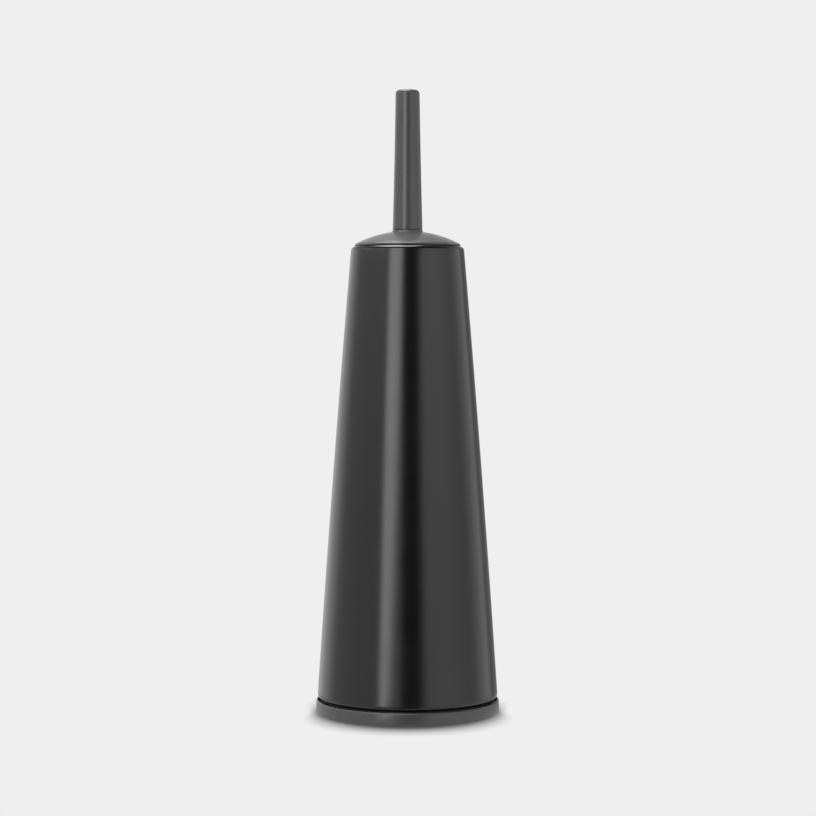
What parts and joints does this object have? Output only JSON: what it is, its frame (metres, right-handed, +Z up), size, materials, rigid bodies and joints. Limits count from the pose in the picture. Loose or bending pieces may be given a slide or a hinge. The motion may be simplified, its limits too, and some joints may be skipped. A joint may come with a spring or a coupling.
{
  "type": "toilet brush holder",
  "caption": "Free-standing conical toilet brush holder with a lift-out bucket and a lidded brush whose head turns off.",
  "frame": {"origin": "on the vertical axis, in the plane the base rests on", "axes": "+Z up along the axis of the cone and the brush; the pictured front faces -Y"},
  "size_m": [0.1312, 0.1312, 0.4443],
  "materials": {
    "coated_steel": "satin powder coat, near black",
    "base_plastic": "fine moulded texture",
    "handle_plastic": "satin moulded",
    "bucket_plastic": "smooth moulded",
    "stem_plastic": "satin moulded",
    "bristle": "nylon filament"
  },
  "bodies": {
    "holder": {"outer_shell": "coated_steel", "base": "base_plastic"},
    "bucket": {"inner_bucket": "bucket_plastic"},
    "brush": {"handle": "handle_plastic", "lid": "handle_plastic", "stem": "stem_plastic"},
    "brush_head": {"head_core": "stem_plastic", "bristle_crown": "bristle", "bristle_row_1": "bristle", "bristle_row_2": "bristle", "bristle_row_3": "bristle", "bristle_row_4": "bristle", "bristle_row_5": "bristle", "bristle_row_6": "bristle", "bristle_row_7": "bristle", "bristle_row_8": "bristle", "bristle_row_9": "bristle"}
  },
  "joints": [
    {"name": "bucket_lift", "type": "slide", "parent": "holder", "child": "bucket", "axis": [0, 0, 1], "range_m": [0, 0.33]},
    {"name": "brush_lift", "type": "slide", "parent": "bucket", "child": "brush", "axis": [0, 0, 1], "range_m": [0, 0.31]},
    {"name": "head_turn", "type": "hinge", "parent": "brush", "child": "brush_head", "pos_m": [0, 0, 0.132], "axis": [0, 0, 1], "range_deg": [0, 60]}
  ]
}
